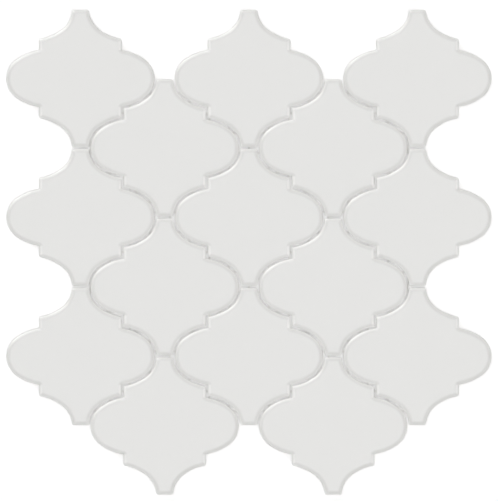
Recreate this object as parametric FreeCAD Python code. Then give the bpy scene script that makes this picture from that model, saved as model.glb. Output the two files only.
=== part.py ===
"""Lantern (arabesque) mosaic sheet: pressed and glazed ceramic tiles on one glass-fibre backing net.

The sheet lies face up on the XY plane. The origin is the centre of its underside, X runs across the
columns, Y runs up the rows and Z points out of the glazed face. All lengths are in millimetres.

One closed joint line repeats over the whole sheet. Every tile is that line drawn in by half a joint, so
the hollow neck of a tile nests in the round cheeks of its neighbours with an even gap all the way round.
"""

import FreeCAD, Part
import math
import os

from FreeCAD import Vector

# Tile plan
TILE_WIDTH = 93.0          # across the two cheeks
TILE_HEIGHT = 86.2         # from tip to tip
TIP_WIDTH = 10.6           # flat end of each neck
STEP_HEIGHT = 7.0          # upright step between the shoulder and the neck, on the joint line
SHOULDER_SLOPE = 9.0       # degrees that the shoulder still falls where it meets the step
CORNER_RADIUS = 1.4        # plan rounding of the corners that stand out
NOTCH_RADIUS = 0.8         # plan rounding of the corners that turn in

# Tile section
TILE_THICKNESS = 6.5
PILLOW_WIDTH = 3.2         # how far in from its edge the glazed face begins to roll off
PILLOW_DROP = 1.3          # how much the face has fallen at its edge
CREST_RADIUS = 0.3         # plan rounding of the standing corners, up where the roll begins
PILLOW_STEPS = 5           # sections that the roll is drawn through
BACK_CHAMFER = 0.6         # pressed edge, side to back

# Relief pressed into the back of a tile, which keys it to the adhesive
GROOVE_WIDTH = 5.0
GROOVE_PITCH = 10.0
GROOVE_DEPTH = 0.8
RELIEF_WIDTH = 72.0        # oval field that holds the grooves
RELIEF_HEIGHT = 50.0

# Sheet
JOINT = 1.2                # gap between neighbouring tiles
COLUMNS = 5
ROWS = 3

# Backing net
NET_PITCH = 12.5           # strand to strand, both ways
STRAND_WIDTH = 1.4
NET_THICKNESS = 0.5
NET_INSET = 6.0            # crossings stay at least this far inside the sheet's edge
STRAND_END = 3.0           # cut end of a strand past its last crossing

# Spacing that follows from the tile and the joint
COLUMN_STEP = (TILE_WIDTH + TIP_WIDTH) / 2 + JOINT
ROW_STEP = TILE_HEIGHT + JOINT
STAGGER = ROW_STEP / 2     # every other column stands half a row lower

UP = Vector(0, 0, 1)
ORIGIN = Vector(0, 0, 0)
TOUCH = 1e-4               # two places closer than this are the same place


def arc_leaving(start, tangent, end):
    """Circular edge from start to end that leaves start along the unit tangent."""
    chord = end - start
    along = Vector(chord).normalize()
    cosine = tangent.dot(along)
    rise = (tangent - along * cosine) * (chord.Length / (2 * (1 + cosine)))
    return Part.Arc(start, start + chord / 2 + rise, end).toShape()


def two_arcs(start, start_tangent, end, end_tangent):
    """Two edges that run into each other smoothly, with end tangents of equal length."""
    chord = end - start
    square = 2 * (1 - start_tangent.dot(end_tangent))
    linear = 2 * chord.dot(start_tangent + end_tangent)
    reach = (math.sqrt(linear ** 2 + 4 * square * chord.dot(chord)) - linear) / (2 * square)
    meeting = (start + start_tangent * reach + end - end_tangent * reach) / 2
    return [arc_leaving(start, start_tangent, meeting), arc_leaving(end, end_tangent * -1, meeting)]


def joint_quarter():
    """Joint line of one quarter of a tile, from the middle of its right cheek to its top tip."""
    cheek = Vector(COLUMN_STEP - (TIP_WIDTH + JOINT) / 2, 0, 0)
    middle = Vector(COLUMN_STEP / 2, STAGGER / 2, 0)
    step_foot = middle - Vector(0, STEP_HEIGHT / 2, 0)
    step_head = middle + Vector(0, STEP_HEIGHT / 2, 0)
    slope = math.radians(SHOULDER_SLOPE)
    into_step = Vector(-math.cos(slope), math.sin(slope), 0)
    round_part = two_arcs(cheek, Vector(0, 1, 0), step_foot, into_step)
    hollow_part = [edge.rotated(middle, UP, 180) for edge in round_part]
    return round_part + [Part.makeLine(step_foot, step_head)] + hollow_part


def joint_edges():
    """All edges of the closed joint line round one tile centred on the origin."""
    quarter = joint_quarter()
    half = quarter + [edge.mirror(ORIGIN, Vector(1, 0, 0)) for edge in quarter]
    whole = half + [edge.mirror(ORIGIN, Vector(0, 1, 0)) for edge in half]
    tip_half = (TIP_WIDTH + JOINT) / 2
    for side in (STAGGER, -STAGGER):
        whole.append(Part.makeLine(Vector(-tip_half, side, 0), Vector(tip_half, side, 0)))
    return whole


def closed_wire(edges):
    """One closed wire from edges given in any order."""
    return Part.Wire(Part.__sortEdges__(edges))


def is_level(edge, height):
    """True for an edge that lies wholly at one height."""
    return abs(edge.BoundBox.ZMin - height) < TOUCH and abs(edge.BoundBox.ZMax - height) < TOUCH


def plan_corners(blank, inset):
    """Upright edges at the sharp corners of a blank drawn in by inset, as (standing out, turning in)."""
    standing_out = []
    turning_in = []
    for edge in blank.Edges:
        if edge.BoundBox.ZLength < TOUCH:
            continue
        across = abs(edge.CenterOfMass.x)
        along = abs(edge.CenterOfMass.y)
        at_tip = abs(along + inset - TILE_HEIGHT / 2) < TOUCH
        on_step = abs(across + inset - (COLUMN_STEP - JOINT) / 2) < TOUCH
        if on_step and along < STAGGER / 2:
            turning_in.append(edge)
        elif on_step or at_tip:
            standing_out.append(edge)
    return standing_out, turning_in


def back_relief():
    """Level grooves inside an oval field, as tall as they are deep, standing on the XY plane."""
    oval = Part.Ellipse(ORIGIN, RELIEF_WIDTH / 2, RELIEF_HEIGHT / 2).toShape()
    field = Part.Face(Part.Wire(oval)).extrude(UP * GROOVE_DEPTH)
    each_side = int((RELIEF_HEIGHT - GROOVE_WIDTH) / 2 // GROOVE_PITCH)
    grooves = []
    for k in range(-each_side, each_side + 1):
        corner = Vector(-RELIEF_WIDTH / 2, k * GROOVE_PITCH - GROOVE_WIDTH / 2, 0)
        grooves.append(Part.makeBox(RELIEF_WIDTH, GROOVE_WIDTH, GROOVE_DEPTH, corner))
    return field.common(Part.makeCompound(grooves))


def rounded_blank(inset, height):
    """Upright block on the XY plane: a tile's outline drawn in by inset, with its corners rounded."""
    outline = closed_wire(joint_edges()).makeOffset2D(-JOINT / 2 - inset, 2)
    standing_radius = CORNER_RADIUS + (CREST_RADIUS - CORNER_RADIUS) * inset / PILLOW_WIDTH
    blank = Part.Face(outline).extrude(UP * height)
    blank = blank.makeFillet(standing_radius, plan_corners(blank, inset)[0])
    return blank.makeFillet(NOTCH_RADIUS + inset, plan_corners(blank, inset)[1])


def pillow_lines():
    """Closed level lines of the glazed roll, from the top of the wall to the edge of the flat face."""
    radius = (PILLOW_WIDTH ** 2 + PILLOW_DROP ** 2) / (2 * PILLOW_DROP)
    steepest = math.asin(PILLOW_WIDTH / radius)
    lines = []
    for k in range(PILLOW_STEPS + 1):
        tilt = steepest * (1 - k / PILLOW_STEPS)
        height = TILE_THICKNESS - radius * (1 - math.cos(tilt))
        block = rounded_blank(PILLOW_WIDTH - radius * math.sin(tilt), height)
        lines.append(closed_wire([e for e in block.Edges if is_level(e, height)]))
    return lines


def lantern_tile():
    """One tile centred on the origin, with its back on the XY plane."""
    walls = rounded_blank(0, TILE_THICKNESS - PILLOW_DROP)
    tile = walls.fuse(Part.makeLoft(pillow_lines(), True, False)).removeSplitter()
    tile = tile.makeChamfer(BACK_CHAMFER, [e for e in tile.Edges if is_level(e, 0)])
    return tile.cut(back_relief())


def tile_places():
    """Name and centre of every tile, counted from the top left, with the sheet centred on the origin."""
    places = {}
    for column in range(COLUMNS):
        x = (column - (COLUMNS - 1) / 2) * COLUMN_STEP
        lift = STAGGER / 2 if column % 2 == 0 else -STAGGER / 2
        for row in range(ROWS):
            y = ((ROWS - 1) / 2 - row) * ROW_STEP + lift
            places[f"lantern_tile_c{column + 1}_r{row + 1}"] = Vector(x, y, 0)
    return places


def sheet_edge(centres):
    """Closed outer line of the sheet: the joint edges that no two tiles share."""
    edges = [edge.translated(centre) for centre in centres for edge in joint_edges()]
    middles = [edge.CenterOfMass for edge in edges]
    lone = []
    for edge, middle in zip(edges, middles):
        if sum(middle.distanceToPoint(other) < TOUCH for other in middles) == 1:
            lone.append(edge)
    return closed_wire(lone)


def net_crossings(edge_line):
    """Grid places (column, row) of the net's crossings that lie well inside the sheet."""
    field = Part.Face(edge_line)
    box = edge_line.BoundBox
    across = int(box.XMax // NET_PITCH)
    along = int(box.YMax // NET_PITCH)
    kept = set()
    for i in range(-across, across + 1):
        for j in range(-along, along + 1):
            place = Vector(i * NET_PITCH, j * NET_PITCH, 0)
            clear = edge_line.distToShape(Part.Vertex(place))[0] >= NET_INSET
            if clear and field.isInside(place, TOUCH, True):
                kept.add((i, j))
    return kept


def runs(numbers):
    """Unbroken runs of whole numbers, as (first, last)."""
    ordered = sorted(numbers)
    starts = [n for n in ordered if n - 1 not in numbers]
    ends = [n for n in ordered if n + 1 not in numbers]
    return list(zip(starts, ends))


def strand(first, last, line, is_level_strand):
    """One strand of the net over a run of crossings, with its cut ends."""
    length = (last - first) * NET_PITCH + 2 * STRAND_END
    start = first * NET_PITCH - STRAND_END
    side = line * NET_PITCH - STRAND_WIDTH / 2
    if is_level_strand:
        return Part.makeBox(length, STRAND_WIDTH, NET_THICKNESS, Vector(start, side, 0))
    return Part.makeBox(STRAND_WIDTH, length, NET_THICKNESS, Vector(side, start, 0))


def backing_net(edge_line):
    """Level and upright strands bonded where they cross, lying on the XY plane."""
    kept = net_crossings(edge_line)
    strands = []
    for line in {j for _, j in kept}:
        for first, last in runs({i for i, j in kept if j == line}):
            strands.append(strand(first, last, line, True))
    for line in {i for i, _ in kept}:
        for first, last in runs({j for i, j in kept if i == line}):
            strands.append(strand(first, last, line, False))
    print("net crossings:", len(kept), "strands:", len(strands))
    return strands[0].multiFuse(strands[1:]).removeSplitter()


def main():
    """Writes one STEP file for each tile and one for the net."""
    os.makedirs("parts", exist_ok=True)
    places = tile_places()
    tile = lantern_tile()
    for name, centre in places.items():
        tile.translated(centre + UP * NET_THICKNESS).exportStep(f"parts/{name}.step")
    net = backing_net(sheet_edge(places.values()))
    net.exportStep("parts/backing_net.step")
    print("tile cm3:", round(tile.Volume / 1000, 2), "valid:", tile.isValid(), "faces:", len(tile.Faces))
    print("net solids:", len(net.Solids), "valid:", net.isValid(), "faces:", len(net.Faces))


main()
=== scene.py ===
"""Looks of a lantern mosaic sheet: glazed ceramic tiles held at their joints by a glass-fibre net.

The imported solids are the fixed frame. Every piece made here is in metres in that same frame: X runs across
the columns, Y runs up the rows and Z points out of the glazed face, counted from the sheet's underside.
"""

import logging
import math
from dataclasses import dataclass
from enum import Enum
from typing import Any, Union

import bmesh
import bpy
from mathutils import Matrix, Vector, noise


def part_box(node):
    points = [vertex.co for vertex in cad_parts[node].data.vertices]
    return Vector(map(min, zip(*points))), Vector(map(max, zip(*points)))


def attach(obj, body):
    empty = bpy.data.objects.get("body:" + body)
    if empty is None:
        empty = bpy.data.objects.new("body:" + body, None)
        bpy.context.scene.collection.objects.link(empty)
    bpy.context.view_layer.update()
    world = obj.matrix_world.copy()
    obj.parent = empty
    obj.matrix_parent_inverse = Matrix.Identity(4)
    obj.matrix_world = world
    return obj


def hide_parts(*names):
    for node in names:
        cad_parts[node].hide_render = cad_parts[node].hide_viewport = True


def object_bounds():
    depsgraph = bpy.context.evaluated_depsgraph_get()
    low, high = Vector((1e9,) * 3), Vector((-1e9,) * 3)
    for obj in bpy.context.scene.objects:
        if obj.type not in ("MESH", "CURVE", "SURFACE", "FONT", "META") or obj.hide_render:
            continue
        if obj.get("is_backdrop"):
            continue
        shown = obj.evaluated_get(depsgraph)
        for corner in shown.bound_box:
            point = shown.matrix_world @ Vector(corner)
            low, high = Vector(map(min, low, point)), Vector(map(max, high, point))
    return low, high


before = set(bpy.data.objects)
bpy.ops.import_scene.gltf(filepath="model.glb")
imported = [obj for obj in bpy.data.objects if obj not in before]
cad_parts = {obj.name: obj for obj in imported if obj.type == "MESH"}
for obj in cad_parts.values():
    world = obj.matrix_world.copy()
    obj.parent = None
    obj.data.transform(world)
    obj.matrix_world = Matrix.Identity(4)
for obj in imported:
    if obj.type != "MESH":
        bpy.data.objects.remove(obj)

LOG = logging.getLogger("mosaic_sheet")
BODY = "root"
MM = 0.001
TOUCH = 1e-6  # two places closer than this are the same place
SHARP = math.radians(32)  # an edge that turns by more than this shades as a crease
UP = Vector((0, 0, 1))

Colour = tuple[float, float, float]
Span = tuple[float, float]


class TileZone(Enum):
    """What covers a face of a tile, as the number of its material slot."""

    GLAZED = 0
    BARE = 1


class StrandRun(Enum):
    """Which way a strand of the net lies, as the axis that it follows."""

    LEVEL = 0
    UPRIGHT = 1


class RecordSlot(Enum):
    """Names of two material slots, which the script does not use."""

    TILE = "glazed_tile"
    NET = "glass_fibre_net"


class Shade:
    """A value that changes over a surface: an output socket that takes part in arithmetic."""

    def __init__(self, graph: "ShaderGraph", socket: bpy.types.NodeSocket) -> None:
        """Wraps an output socket of a graph."""
        self.graph = graph
        self.socket = socket

    def __add__(self, other: "Number") -> "Shade":
        """Sum of two values."""
        return self.graph.maths("ADD", self, other)

    def __radd__(self, other: "Number") -> "Shade":
        """Sum with a plain number on the left."""
        return self.graph.maths("ADD", other, self)

    def __sub__(self, other: "Number") -> "Shade":
        """Difference of two values."""
        return self.graph.maths("SUBTRACT", self, other)

    def __rsub__(self, other: "Number") -> "Shade":
        """Difference with a plain number on the left."""
        return self.graph.maths("SUBTRACT", other, self)

    def __mul__(self, other: "Number") -> "Shade":
        """Product of two values."""
        return self.graph.maths("MULTIPLY", self, other)

    def __rmul__(self, other: "Number") -> "Shade":
        """Product with a plain number on the left."""
        return self.graph.maths("MULTIPLY", other, self)

    def __truediv__(self, other: "Number") -> "Shade":
        """Quotient of two values."""
        return self.graph.maths("DIVIDE", self, other)


Number = Union[float, Shade]


class ShaderGraph:
    """The nodes of one material or of the world."""

    def __init__(self, tree: bpy.types.ShaderNodeTree) -> None:
        """Empties a node tree and builds in it.

        Args:
            tree: Node tree of a material or a world.
        """
        self.tree = tree
        self.tree.nodes.clear()

    def node(
        self,
        kind: str,
        settings: dict[str, Any] | None = None,
        sockets: dict[str | int, Any] | None = None,
        out: str | int = 0,
    ) -> Shade:
        """Adds a node.

        Args:
            kind: Blender's name for the node's type.
            settings: Values of the node's own properties, set first.
            sockets: Values or links of its input sockets, by name or number.
            out: Output socket to hand back, by name or number.

        Returns:
            The chosen output.
        """
        made = self.tree.nodes.new(kind)
        for name, value in (settings or {}).items():
            setattr(made, name, value)
        for key, value in (sockets or {}).items():
            self.feed(made.inputs[key], value)
        return Shade(self, made.outputs[out])

    def feed(self, socket: bpy.types.NodeSocket, value: Any) -> None:
        """Links a shade to an input socket, or sets the socket to a plain value.

        Args:
            socket: Input socket.
            value: Shade, number, colour or vector.
        """
        if isinstance(value, Shade):
            self.tree.links.new(value.socket, socket)
        elif socket.type == "RGBA":
            socket.default_value = (*value[:3], 1.0)
        else:
            socket.default_value = value

    def maths(self, operation: str, first: Number, second: Number) -> Shade:
        """One Math node on two values."""
        return self.node("ShaderNodeMath", {"operation": operation}, {0: first, 1: second})

    def mix(self, share: Number, first: Colour | Shade, second: Colour | Shade) -> Shade:
        """Colour that goes from the first to the second as the share goes from 0 to 1."""
        return self.node("ShaderNodeMix", {"data_type": "RGBA"}, {0: share, 6: first, 7: second}, out=2)

    def ramp(self, value: Shade, low: float, high: float) -> Shade:
        """Share that rises smoothly from 0 where the value is low to 1 where it is high."""
        settings = {"interpolation_type": "SMOOTHSTEP"}
        return self.node("ShaderNodeMapRange", settings, {"Value": value, "From Min": low, "From Max": high})

    def place(self) -> Shade:
        """Position on the piece, in the sheet's frame."""
        return self.node("ShaderNodeTexCoord", out="Object")

    def grain(self, where: Shade, size: float, detail: float = 2.0) -> Shade:
        """Cloudy noise from 0 to 1.

        Args:
            where: Position that the noise is read at.
            size: Width of a cloud, in metres.
            detail: How many finer layers it has.

        Returns:
            The noise.
        """
        return self.node("ShaderNodeTexNoise", None, {"Vector": where, "Scale": 1 / size, "Detail": detail})

    def bump(self, height: Shade) -> Shade:
        """Surface normal of a relief given in metres."""
        return self.node("ShaderNodeBump", None, {"Strength": 1.0, "Distance": 1.0, "Height": height})


def new_material(name: str) -> tuple[bpy.types.Material, ShaderGraph]:
    """Starts an empty material.

    Args:
        name: The finish's name.

    Returns:
        The material and the graph to build it in.
    """
    material = bpy.data.materials.new(name)
    material.use_nodes = True
    return material, ShaderGraph(material.node_tree)


def principled(graph: ShaderGraph, sockets: dict[str, Any]) -> None:
    """Ends a graph in a principled shader.

    Args:
        graph: Graph of a material.
        sockets: Values or links of the shader's sockets.
    """
    shader = graph.node("ShaderNodeBsdfPrincipled", None, sockets)
    end_in(graph, "ShaderNodeOutputMaterial", shader)


def end_in(graph: ShaderGraph, kind: str, shader: Shade) -> None:
    """Links a shader to a new output node.

    Args:
        graph: Graph that ends here.
        kind: Type of the output node.
        shader: Shader of the surface.
    """
    output = graph.tree.nodes.new(kind)
    graph.feed(output.inputs["Surface"], shader)


@dataclass(frozen=True)
class Glaze:
    """Opaque white glaze, darker where the face rolls off and lighter along the rim and the upright steps.

    The darker roll is partly thinner glaze and partly painted shade, and the lighter rim and steps are partly
    pooled glaze and partly painted light. Spans are shares of the roll's whole fall, from 0 on the flat face
    to 1 at the rim.
    """

    colour: Colour = (0.771, 0.769, 0.755)
    # partly thinner glaze and partly painted shade on the roll
    thin_glaze_and_painted_shade_colour: Colour = (0.665, 0.662, 0.647)
    # partly pooled glaze and partly painted light on the rim and the steps
    pool_and_painted_light_colour: Colour = (0.830, 0.827, 0.812)
    roughness: float = 0.02
    edge_roughness: float = 0.58
    refraction: float = 1.7
    # where the roll takes the painted shade and thinner glaze
    thin_glaze_and_painted_shade_span: Span = (0.0, 0.3)
    wall_span: Span = (0.9, 1.2)
    dull_span: Span = (0.02, 0.35)
    # where the rim takes the painted light and pooled glaze
    pool_and_painted_light_span: Span = (0.35, 0.75)
    cloud_size: float = 34 * MM
    cloud_depth: float = 0.012
    wave_size: float = 17 * MM
    wave_height: float = 0.010 * MM
    peel_size: float = 1.7 * MM
    peel_height: float = 0.0012 * MM

    def make(self, face_height: float, whole_fall: float) -> bpy.types.Material:
        """Builds the glaze, which reads the tile's attribute of pooled glaze and painted light.

        Args:
            face_height: Height of the glazed face in the frame.
            whole_fall: How far the face falls to its rim.

        Returns:
            The material.
        """
        material, graph = new_material("white_glaze")
        where = graph.place()
        height = graph.node("ShaderNodeSeparateXYZ", None, {0: where}, out="Z")
        fall = (face_height - height) / whole_fall
        # painted shade, partly thinner glaze: the roll's tone darkens where its surface turns from the light
        rolled = graph.ramp(fall, *self.thin_glaze_and_painted_shade_span) * (1 - graph.ramp(fall, *self.wall_span))
        dulled = graph.ramp(fall, *self.dull_span)
        cloud = graph.grain(where, self.cloud_size)
        # painted light, partly pooled glaze: the rim and the upright steps are lightened against their shade
        pool_and_painted_light_on_step = graph.node("ShaderNodeAttribute", {"attribute_name": LanternTile.POOL_AND_PAINTED_LIGHT}, out="Fac")
        pool_and_painted_light = graph.maths("MAXIMUM", pool_and_painted_light_on_step, graph.ramp(fall, *self.pool_and_painted_light_span))
        edge = graph.mix(pool_and_painted_light, self.thin_glaze_and_painted_shade_colour, self.pool_and_painted_light_colour)
        tone = graph.mix(rolled, self.colour, edge)
        shadow = graph.node("ShaderNodeHueSaturation", None, {"Color": tone, "Value": 1 - self.cloud_depth})
        wave = graph.grain(where, self.wave_size, detail=1.0)
        peel = graph.grain(where, self.peel_size, detail=1.0)
        principled(graph, {
            "Base Color": graph.mix(cloud, shadow, tone),
            "IOR": self.refraction,
            "Roughness": self.roughness + (self.edge_roughness - self.roughness) * dulled,
            "Normal": graph.bump(wave * self.wave_height + peel * self.peel_height),
        })
        return material


@dataclass(frozen=True)
class Biscuit:
    """Bare fired body of a tile: pale, dry and finely grained, with dried glue along the net's strands.

    The glue fades out over the glue span, in shares of its reach, and over the climb span up the sides.
    """

    colour: Colour = (0.735, 0.700, 0.630)
    speck_colour: Colour = (0.520, 0.455, 0.365)
    glue_colour: Colour = (0.760, 0.745, 0.690)
    roughness: float = 0.9
    grain_size: float = 0.5 * MM
    grain_height: float = 0.03 * MM
    speck_size: float = 1.6 * MM
    speck_span: Span = (0.66, 0.74)
    speck_depth: float = 0.55
    glue_reach: float = 2.4 * MM
    glue_span: Span = (0.35, 0.6)
    climb_span: Span = (0.2 * MM, 0.9 * MM)
    smear_size: float = 5 * MM
    glue_cover: float = 0.8
    glue_gloss: float = 0.5

    def make(self, net_pitch: float, back_height: float) -> bpy.types.Material:
        """Builds the bare body.

        Args:
            net_pitch: Distance between the net's strands.
            back_height: Height of the tiles' backs in the frame.

        Returns:
            The material.
        """
        material, graph = new_material("bare_biscuit")
        where = graph.place()
        axes = [graph.node("ShaderNodeSeparateXYZ", None, {0: where}, out=axis) for axis in "XYZ"]
        off_strand = graph.maths("MINIMUM", *(self.off_strand(graph, axis, net_pitch) for axis in axes[:2]))
        smear = off_strand + self.glue_reach * (graph.grain(where, self.smear_size) - 0.5)
        on_back = 1 - graph.ramp(axes[2], *(back_height + climb for climb in self.climb_span))
        glued = on_back * (1 - graph.ramp(smear, *(share * self.glue_reach for share in self.glue_span)))
        grain = graph.grain(where, self.grain_size, detail=4.0)
        speck = graph.ramp(graph.grain(where, self.speck_size, detail=3.0), *self.speck_span)
        body = graph.mix(self.speck_depth * speck, self.colour, self.speck_colour)
        covered = self.glue_cover * glued
        principled(graph, {
            "Base Color": graph.mix(covered, body, self.glue_colour),
            "Roughness": self.roughness - self.glue_gloss * glued,
            "Normal": graph.bump(grain * self.grain_height * (1 - covered)),
        })
        return material

    @staticmethod
    def off_strand(graph: ShaderGraph, axis: Shade, pitch: float) -> Shade:
        """Distance from the nearest strand that crosses an axis."""
        return graph.maths("PINGPONG", axis, pitch / 2)


@dataclass(frozen=True)
class GlassFibre:
    """Bundle of fine glass filaments in a clear size, with streaks along its run and painted shade in the
    hollows between them.
    """

    colour: Colour = (0.94, 0.94, 0.925)
    # painted shade in the hollows between the filaments
    painted_hollow_shade_colour: Colour = (0.89, 0.89, 0.880)
    roughness: float = 0.48
    line_gloss: float = 0.14
    line_span: Span = (0.35, 0.65)
    filaments: float = 26.0
    filament_length: float = 9 * MM
    filament_height: float = 0.02 * MM

    def make(self) -> bpy.types.Material:
        """Builds the strand's finish, which reads the piece's yarn attribute.

        Returns:
            The material.
        """
        material, graph = new_material("sized_glass_fibre")
        yarn = graph.node("ShaderNodeAttribute", {"attribute_name": BackingNet.YARN}, out="Vector")
        stretch = (1 / self.filament_length, self.filaments / 2, 1.0)
        along = graph.node("ShaderNodeVectorMath", {"operation": "MULTIPLY"}, {0: yarn, 1: stretch})
        streak = graph.node("ShaderNodeTexNoise", None, {"Vector": along, "Scale": 1.0, "Detail": 2.0})
        line = graph.ramp(streak, *self.line_span)
        principled(graph, {
            # darker between the raised filaments: painted shade
            "Base Color": graph.mix(line, self.painted_hollow_shade_colour, self.colour),
            "Roughness": self.roughness - self.line_gloss * line,
            "Normal": graph.bump(line * self.filament_height),
        })
        return material


@dataclass
class LanternTile:
    """A pressed tile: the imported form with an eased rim, and a glaze that ends in a lip down its side.

    The rim is drawn in by rim_draw, between two lines that lie rim_ease above and below it. The middle of
    the upright step in each quarter lies step_across and step_along from the tile's centre.
    """

    # attribute of pooled glaze and painted light on the upright steps
    POOL_AND_PAINTED_LIGHT = "pool_and_painted_light"

    pattern_node: str = "lantern_tile_c1_r1"
    pillow_drop: float = 1.3 * MM
    face_margin: float = 0.12 * MM
    rim_ease: float = 0.25 * MM
    rim_draw: float = 0.08 * MM
    glaze_line: float = 2.1 * MM
    glaze_lip: float = 0.12 * MM
    glaze_wander: float = 0.7 * MM
    long_wave: float = 11 * MM
    short_wave: float = 3 * MM
    long_share: float = 0.7
    relief_width: float = 72.0 * MM
    relief_height: float = 50.0 * MM
    relief_margin: float = 1.01
    step_across: float = 25.9 * MM
    step_along: float = 21.85 * MM
    step_reach: float = 4.2 * MM
    step_facing: float = 0.8
    level_tilt: float = math.radians(1)
    same_level: float = 0.005 * MM

    def build(self) -> bmesh.types.BMesh:
        """Models the tile, centred on the origin with its back on the XY plane.

        Returns:
            The tile's mesh.
        """
        mesh = bmesh.new()
        low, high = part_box(self.pattern_node)
        self.take_form(mesh, low, high)
        self.join_face(mesh)
        self.ease_rim(mesh, high.z - low.z - self.pillow_drop)
        self.part_glaze(mesh)
        self.mark_pools_and_painted_light(mesh)
        finish_shading(mesh)
        return mesh

    def take_form(self, mesh: bmesh.types.BMesh, low: Vector, high: Vector) -> None:
        """Copies a packed tile and moves the copy to the origin.

        Args:
            mesh: Empty mesh that takes the form.
            low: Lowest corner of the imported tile.
            high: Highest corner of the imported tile.
        """
        mesh.from_mesh(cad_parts[self.pattern_node].data)
        bmesh.ops.remove_doubles(mesh, verts=mesh.verts[:], dist=TOUCH)
        bmesh.ops.recalc_face_normals(mesh, faces=mesh.faces[:])
        middle = (low + high) / 2
        bmesh.ops.translate(mesh, verts=mesh.verts[:], vec=-Vector((middle.x, middle.y, low.z)))

    def join_face(self, mesh: bmesh.types.BMesh) -> None:
        """Joins the flat part of the glazed face to one face with a narrow margin, so that it shades flat.

        Args:
            mesh: The tile's form.
        """
        flat = math.cos(self.level_tilt)
        inner = [edge for edge in mesh.edges if all(face.normal.z > flat for face in edge.link_faces)]
        bmesh.ops.dissolve_edges(mesh, edges=inner)
        face = max(mesh.faces, key=lambda face: face.calc_center_median().z)
        bmesh.ops.inset_region(mesh, faces=[face], thickness=self.face_margin, use_even_offset=True)

    def ease_rim(self, mesh: bmesh.types.BMesh, rim: float) -> None:
        """Eases the edge where the pillowed face meets the wall.

        Args:
            mesh: The tile's form.
            rim: Height of that edge.
        """
        for level in (rim - self.rim_ease, rim + self.rim_ease):
            self.cut_level(mesh, level)
        for vertex in mesh.verts:
            if abs(vertex.co.z - rim) < self.same_level:
                vertex.co -= vertex.normal * self.rim_draw

    @staticmethod
    def cut_level(mesh: bmesh.types.BMesh, level: float) -> None:
        """Adds a line of edges round the whole tile at one height.

        Args:
            mesh: The tile's form.
            level: Height of the line.
        """
        everything = mesh.verts[:] + mesh.edges[:] + mesh.faces[:]
        bmesh.ops.bisect_plane(mesh, geom=everything, plane_co=UP * level, plane_no=UP, dist=TOUCH)
        mesh.normal_update()

    def part_glaze(self, mesh: bmesh.types.BMesh) -> None:
        """Ends the glaze in a lip part-way down the side, and draws the bare body in below it.

        Args:
            mesh: The tile's form.
        """
        for level in (self.glaze_line, self.glaze_line + 2 * self.glaze_lip):
            self.cut_level(mesh, level)
        for vertex in mesh.verts:
            if vertex.co.z < self.glaze_line + TOUCH and not self.in_relief(vertex.co):
                outward = Vector((vertex.normal.x, vertex.normal.y, 0)).normalized()
                vertex.co -= outward * self.glaze_lip
        for face in mesh.faces:
            is_glazed = face.calc_center_median().z > self.glaze_line
            face.material_index = (TileZone.GLAZED if is_glazed else TileZone.BARE).value

    def in_relief(self, place: Vector) -> bool:
        """True for a place in the oval field of the back that holds the pressed grooves."""
        across, along = 2 * place.x / self.relief_width, 2 * place.y / self.relief_height
        return math.hypot(across, along) < self.relief_margin

    def mark_pools_and_painted_light(self, mesh: bmesh.types.BMesh) -> None:
        """Marks where the glaze pools along the upright steps and painted light lifts their shade, which its
        material reads.

        Args:
            mesh: The tile's form, with its glaze parted.
        """
        pool_and_painted_light = mesh.verts.layers.float.new(self.POOL_AND_PAINTED_LIGHT)
        mesh.normal_update()
        for vertex in mesh.verts:
            vertex[pool_and_painted_light] = self.pool_and_painted_light_share(vertex.co, vertex.normal)

    def pool_and_painted_light_share(self, place: Vector, normal: Vector) -> float:
        """Finds how much pooled glaze and painted light a place gets.

        Args:
            place: Place on the tile.
            normal: The way that its surface faces.

        Returns:
            Share from 0 off the steps to 1 where the surface faces the next tile squarely.
        """
        off_step = (abs(place.x) - self.step_across, abs(place.y) - self.step_along)
        sideways = math.hypot(normal.x, normal.y)
        if max(map(abs, off_step)) > self.step_reach or sideways < TOUCH:
            return 0.0
        facing = abs(normal.x) / sideways
        return min(1.0, max(0.0, (facing - self.step_facing) / (1 - self.step_facing)))

    def wander_glaze(self, mesh: bmesh.types.BMesh, centre: Vector) -> None:
        """Lets the lower end of the glaze rise and fall along the side, differently on each tile.

        Args:
            mesh: The tile's mesh, still on the origin.
            centre: Where the tile goes, which sets how its glaze ran.
        """
        for vertex in mesh.verts:
            if self.glaze_line - TOUCH < vertex.co.z < self.glaze_line + 2 * self.glaze_lip + TOUCH:
                along = Vector((vertex.co.x, vertex.co.y, 0)) + centre
                long_rise = self.long_share * noise.noise(along / self.long_wave)
                short_rise = (1 - self.long_share) * noise.noise(along / self.short_wave)
                vertex.co.z += self.glaze_wander * (long_rise + short_rise)


def finish_shading(mesh: bmesh.types.BMesh) -> None:
    """Shades a mesh smoothly, apart from its sharp edges.

    Args:
        mesh: Finished mesh.
    """
    mesh.normal_update()
    for face in mesh.faces:
        face.smooth = True
    for edge in mesh.edges:
        edge.smooth = not edge.is_manifold or edge.calc_face_angle() < SHARP


def new_piece(name: str, mesh: bmesh.types.BMesh, finishes: list[bpy.types.Material]) -> bpy.types.Object:
    """Makes an object of a finished mesh, rides it on the sheet's body and frees the mesh.

    Args:
        name: The piece's name.
        mesh: Its mesh, in place.
        finishes: Its materials, in the order of its slots.

    Returns:
        The piece.
    """
    data = bpy.data.meshes.new(name)
    mesh.to_mesh(data)
    mesh.free()
    for finish in finishes:
        data.materials.append(finish)
    piece = bpy.data.objects.new(name, data)
    bpy.context.scene.collection.objects.link(piece)
    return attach(piece, BODY)


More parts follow.
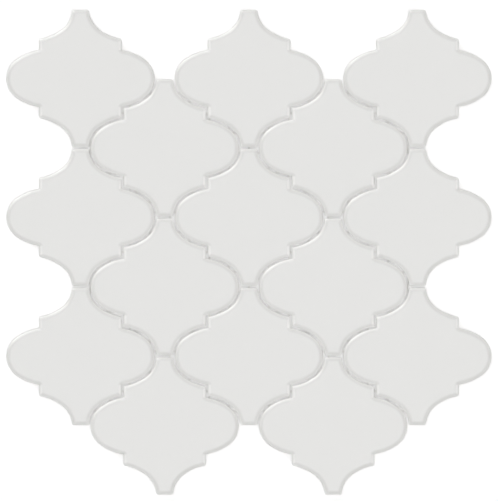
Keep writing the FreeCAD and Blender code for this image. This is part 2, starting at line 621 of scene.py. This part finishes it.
@dataclass
class TileField:
    """All the tiles of the sheet, one piece for each packed tile."""

    tile: LanternTile
    glaze: Glaze
    biscuit: Biscuit
    net_pitch: float
    node_prefix: str = "lantern_tile_"
    piece_prefix: str = "glazed_lantern_"

    def build(self) -> list[bpy.types.Object]:
        """Models and dresses every tile.

        Returns:
            The pieces.
        """
        nodes = sorted(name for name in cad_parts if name.startswith(self.node_prefix))
        low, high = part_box(nodes[0])
        finishes = [
            self.glaze.make(high.z, self.tile.pillow_drop),
            self.biscuit.make(self.net_pitch, low.z),
        ]
        pattern = self.tile.build()
        pieces = [self.lay(pattern.copy(), name, finishes) for name in nodes]
        pattern.free()
        return pieces

    def lay(
        self, mesh: bmesh.types.BMesh, node: str, finishes: list[bpy.types.Material]
    ) -> bpy.types.Object:
        """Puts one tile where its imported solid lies.

        Args:
            mesh: Copy of the tile's mesh, on the origin.
            node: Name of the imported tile.
            finishes: Glaze and bare body.

        Returns:
            The piece.
        """
        low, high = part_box(node)
        centre = Vector(((low.x + high.x) / 2, (low.y + high.y) / 2, low.z))
        self.tile.wander_glaze(mesh, centre)
        bmesh.ops.translate(mesh, verts=mesh.verts[:], vec=centre)
        piece = new_piece(node.replace(self.node_prefix, self.piece_prefix), mesh, finishes)
        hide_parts(node)
        return piece


@dataclass(frozen=True)
class Yarn:
    """Section of a yarn, and how far it sways about its line.

    The section has so many sides, and is drawn so many steps to a pitch.
    """

    half_width: float
    half_height: float
    sway: float
    lift: float
    sides: int
    steps: int


@dataclass(frozen=True)
class YarnPath:
    """One yarn's way along a line of the net, counted in pitches."""

    yarn: Yarn
    run: StrandRun
    line: int
    start: float
    end: float
    phase: float

    def stations(self) -> list[float]:
        """Places of the yarn's sections along the line."""
        count = max(2, math.ceil((self.end - self.start) * self.yarn.steps))
        return [self.start + (self.end - self.start) * k / count for k in range(count + 1)]

    def point(self, station: float, wide: float, tall: float, pitch: float, middle: float) -> Vector:
        """Finds one point of a section.

        Args:
            station: Place of the section along the line.
            wide: Place across the section, from -1 to 1.
            tall: Place up the section, from -1 to 1.
            pitch: Distance between the net's lines.
            middle: Height of the middle of the net.

        Returns:
            The point in the sheet's frame.
        """
        turn = math.pi * station + self.phase
        along = station * pitch
        side = self.line * pitch + self.yarn.sway * math.sin(turn) + self.yarn.half_width * wide
        height = middle + self.yarn.lift * math.cos(turn) + self.yarn.half_height * tall
        return Vector((along, side, height) if self.run is StrandRun.LEVEL else (side, along, height))


@dataclass
class BackingNet:
    """Glass-fibre net: flat level strands, locked between the two twisted yarns of each upright strand."""

    YARN = "yarn"
    RUN_APART = 40.0

    node: str = "backing_net"
    pitch: float = 12.5 * MM
    strand_width: float = 1.4 * MM
    strand_end: float = 3.0 * MM
    thickness: float = 0.5 * MM
    level_yarn: Yarn = Yarn(0.70 * MM, 0.11 * MM, sway=0.0, lift=0.0, sides=10, steps=4)
    twist_yarn: Yarn = Yarn(0.34 * MM, 0.12 * MM, sway=0.35 * MM, lift=0.13 * MM, sides=8, steps=8)

    def crossings(self) -> set[tuple[int, int]]:
        """Finds the net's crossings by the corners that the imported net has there.

        Returns:
            Their grid places.
        """
        reach = self.strand_width / 2 + TOUCH
        found = set()
        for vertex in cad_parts[self.node].data.vertices:
            i, j = round(vertex.co.x / self.pitch), round(vertex.co.y / self.pitch)
            if abs(vertex.co.x - i * self.pitch) < reach and abs(vertex.co.y - j * self.pitch) < reach:
                found.add((i, j))
        return found

    @staticmethod
    def runs(numbers: set[int]) -> list[tuple[int, int]]:
        """Finds unbroken runs of whole numbers.

        Args:
            numbers: The numbers.

        Returns:
            The first and the last number of each run.
        """
        ordered = sorted(numbers)
        starts = [n for n in ordered if n - 1 not in numbers]
        ends = [n for n in ordered if n + 1 not in numbers]
        return list(zip(starts, ends))

    def paths(self) -> list[YarnPath]:
        """Finds the way of every yarn.

        Returns:
            One path for each level strand and two for each upright one.
        """
        kept = self.crossings()
        past = self.strand_end / self.pitch
        paths = []
        for run in StrandRun:
            is_level = run is StrandRun.LEVEL
            yarn, phases = (self.level_yarn, [0.0]) if is_level else (self.twist_yarn, [0.0, math.pi])
            for line in sorted({place[1 - run.value] for place in kept}):
                on_line = {place[run.value] for place in kept if place[1 - run.value] == line}
                for first, last in self.runs(on_line):
                    paths += [YarnPath(yarn, run, line, first - past, last + past, phase) for phase in phases]
        return paths

    def build(self, finish: GlassFibre) -> bpy.types.Object:
        """Models and dresses the net.

        Args:
            finish: Finish of its strands.

        Returns:
            The piece.
        """
        net = bmesh.new()
        net.verts.layers.float_vector.new(self.YARN)
        for path in self.paths():
            self.sweep(net, path)
        for face in net.faces:
            face.smooth = True
        piece = new_piece("woven_backing_net", net, [finish.make()])
        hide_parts(self.node)
        return piece

    def sweep(self, net: bmesh.types.BMesh, path: YarnPath) -> None:
        """Sweeps one yarn's oval section along its path and adds it to the net.

        Args:
            net: Mesh of the whole net.
            path: The yarn's way.
        """
        strand = bmesh.new()
        mark = strand.verts.layers.float_vector.new(self.YARN)
        ring = bmesh.ops.create_circle(strand, cap_ends=True, segments=path.yarn.sides, radius=1.0)["verts"]
        section = [(vertex.co.x, vertex.co.y) for vertex in ring]
        edges = strand.edges[:]
        seed = path.line + path.phase + self.RUN_APART * path.run.value
        for number, station in enumerate(path.stations()):
            if number:
                grown = bmesh.ops.extrude_edge_only(strand, edges=edges)["geom"]
                ring = [part for part in grown if isinstance(part, bmesh.types.BMVert)]
                edges = [part for part in grown if isinstance(part, bmesh.types.BMEdge)]
            for vertex, (wide, tall) in zip(ring, section):
                vertex.co = path.point(station, wide, tall, self.pitch, self.thickness / 2)
                vertex[mark] = (station * self.pitch, wide, seed)
        bmesh.ops.contextual_create(strand, geom=edges)
        bmesh.ops.recalc_face_normals(strand, faces=strand.faces[:])
        data = bpy.data.meshes.new("strand")
        strand.to_mesh(data)
        strand.free()
        net.from_mesh(data)
        bpy.data.meshes.remove(data)


def hang_light(
    data: bpy.types.Light, azimuth: float, elevation: float, distance: float = 0.0
) -> bpy.types.Object:
    """Hangs a light so that it faces the middle of the stage.

    Args:
        data: The light.
        azimuth: Side that it hangs on, in degrees.
        elevation: How high it hangs, in degrees.
        distance: How far away it hangs, which is no matter for a lamp of parallel light.

    Returns:
        The light's object.
    """
    light = bpy.data.objects.new(data.name, data)
    light.rotation_euler = (0, math.radians(90 - elevation), math.radians(azimuth))
    light.location = light.rotation_euler.to_matrix() @ UP * distance
    bpy.context.scene.collection.objects.link(light)
    return light


@dataclass(frozen=True)
class Lamp:
    """A soft round lamp, so far away that it lights the whole sheet evenly."""

    name: str
    share: float
    azimuth: float
    elevation: float
    spread: float

    def hang(self) -> bpy.types.Object:
        """Hangs the lamp so that it gives its share of the light on a level surface.

        Returns:
            The lamp's object.
        """
        data = bpy.data.lights.new(self.name, "SUN")
        data.energy = math.pi * self.share / math.sin(math.radians(self.elevation))
        data.angle = math.radians(self.spread)
        lamp = hang_light(data, self.azimuth, self.elevation)
        lamp.visible_glossy = False
        return lamp


@dataclass(frozen=True)
class SoftBox:
    """A long soft box that shows only as a bright line in glossy edges."""

    name: str
    radiance: float
    azimuth: float
    elevation: float
    distance: float
    length: float
    height: float

    def hang(self) -> bpy.types.Object:
        """Hangs the box so that it faces the middle of the stage.

        Returns:
            The lamp's object.
        """
        data = bpy.data.lights.new(self.name, "AREA")
        data.shape = "RECTANGLE"
        data.size, data.size_y = self.height, self.length
        data.energy = math.pi * self.height * self.length * self.radiance
        lamp = hang_light(data, self.azimuth, self.elevation, self.distance)
        lamp.visible_camera = lamp.visible_diffuse = False
        return lamp


@dataclass
class Studio:
    """White floor, soft light from above and the upper left, and a camera that looks straight down.

    The sheet's left, right, top and bottom edges are where they lie in the photograph, in its pixels.
    """

    photo_width: float = 498.0
    photo_height: float = 501.0
    sheet_left: float = 6.49
    sheet_right: float = 491.55
    sheet_top: float = 9.76
    sheet_bottom: float = 494.58
    lens: float = 1000.0
    floor_size: float = 12.0
    floor_gap: float = 0.05 * MM
    floor_glow: float = 0.13
    floor_colour: Colour = (0.92, 0.92, 0.92)
    bounce_colour: Colour = (0.55, 0.55, 0.55)
    world_light: float = 0.20
    lamps: tuple[Lamp | SoftBox, ...] = (
        Lamp("overhead_lamp", share=0.64, azimuth=0, elevation=90, spread=16),
        Lamp("key_lamp", share=0.08, azimuth=118, elevation=40, spread=24),
        Lamp("fill_lamp", share=0.08, azimuth=298, elevation=40, spread=24),
        SoftBox(
            "shine_box", radiance=195.0, azimuth=125, elevation=25, distance=6.0, length=1.69, height=0.63
        ),
    )

    def build(self, low: Vector, high: Vector) -> None:
        """Sets up the stage round the sheet.

        Args:
            low: Lowest corner of the sheet.
            high: Highest corner of the sheet.
        """
        bpy.context.scene.view_settings.view_transform = "Standard"
        self.lay_floor(low.z)
        self.light_world()
        for lamp in self.lamps:
            lamp.hang()
        self.set_camera(low, high)

    @staticmethod
    def seen_directly(graph: ShaderGraph) -> Shade:
        """Tells how a background is looked at.

        Args:
            graph: Graph of the background.

        Returns:
            1 where the camera or a reflection looks at it, and 0 where it only gives light.
        """
        kinds = ("Camera", "Glossy", "Transmission")
        camera, glossy, through = (graph.node("ShaderNodeLightPath", out=f"Is {kind} Ray") for kind in kinds)
        return graph.maths("MAXIMUM", camera, graph.maths("MAXIMUM", glossy, through))

    def lay_floor(self, height: float) -> None:
        """Lays the floor just under the sheet. It looks white, and throws less light back than it shows.

        Args:
            height: Height of the sheet's underside.
        """
        mesh = bmesh.new()
        bmesh.ops.create_grid(mesh, x_segments=1, y_segments=1, size=self.floor_size / 2)
        bmesh.ops.translate(mesh, verts=mesh.verts[:], vec=UP * (height - self.floor_gap))
        data = bpy.data.meshes.new("studio_floor")
        mesh.to_mesh(data)
        mesh.free()
        floor = bpy.data.objects.new("studio_floor", data)
        bpy.context.scene.collection.objects.link(floor)
        floor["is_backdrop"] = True
        material, graph = new_material("white_floor")
        matt = graph.node("ShaderNodeBsdfDiffuse", None, {"Color": self.floor_colour})
        glow = graph.node("ShaderNodeEmission", None, {"Strength": self.floor_glow})
        white = graph.node("ShaderNodeAddShader", None, {0: matt, 1: glow})
        dim = graph.node("ShaderNodeBsdfDiffuse", None, {"Color": self.bounce_colour})
        both = graph.node("ShaderNodeMixShader", None, {0: self.seen_directly(graph), 1: dim, 2: white})
        end_in(graph, "ShaderNodeOutputMaterial", both)
        data.materials.append(material)

    def light_world(self) -> None:
        """Surrounds the stage with even light that looks white."""
        world = bpy.data.worlds.new("studio")
        bpy.context.scene.world = world
        world.use_nodes = True
        graph = ShaderGraph(world.node_tree)
        strength = self.world_light + (1 - self.world_light) * self.seen_directly(graph)
        light = graph.node("ShaderNodeBackground", None, {"Strength": strength, "Color": (1, 1, 1)})
        end_in(graph, "ShaderNodeOutputWorld", light)

    def set_camera(self, low: Vector, high: Vector) -> None:
        """Puts the camera over the sheet so that it fills the picture as in the photograph.

        Args:
            low: Lowest corner of the sheet.
            high: Highest corner of the sheet.
        """
        scale = (high.x - low.x) / (self.sheet_right - self.sheet_left)
        right = (self.photo_width - self.sheet_left - self.sheet_right) / 2 * scale
        down = (self.photo_height - self.sheet_top - self.sheet_bottom) / 2 * scale
        data = bpy.data.cameras.new("camera")
        data.lens = self.lens
        distance = max(self.photo_width, self.photo_height) * scale * self.lens / data.sensor_width
        camera = bpy.data.objects.new("camera", data)
        middle = (low + high) / 2
        camera.location = (middle.x + right, middle.y - down, high.z + distance)
        bpy.context.scene.collection.objects.link(camera)
        bpy.context.scene.camera = camera


def main() -> None:
    """Builds the sheet's pieces and the studio."""
    logging.basicConfig(level=logging.INFO, format="%(message)s")
    low, high = solid_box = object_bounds()
    net = BackingNet()
    field = TileField(LanternTile(), Glaze(), Biscuit(), net.pitch)
    for piece in field.build() + [net.build(GlassFibre())]:
        LOG.info("piece %s: %d faces", piece.name, len(piece.data.polygons))
    Studio().build(low, high)


if __name__ == "__main__":
    main()
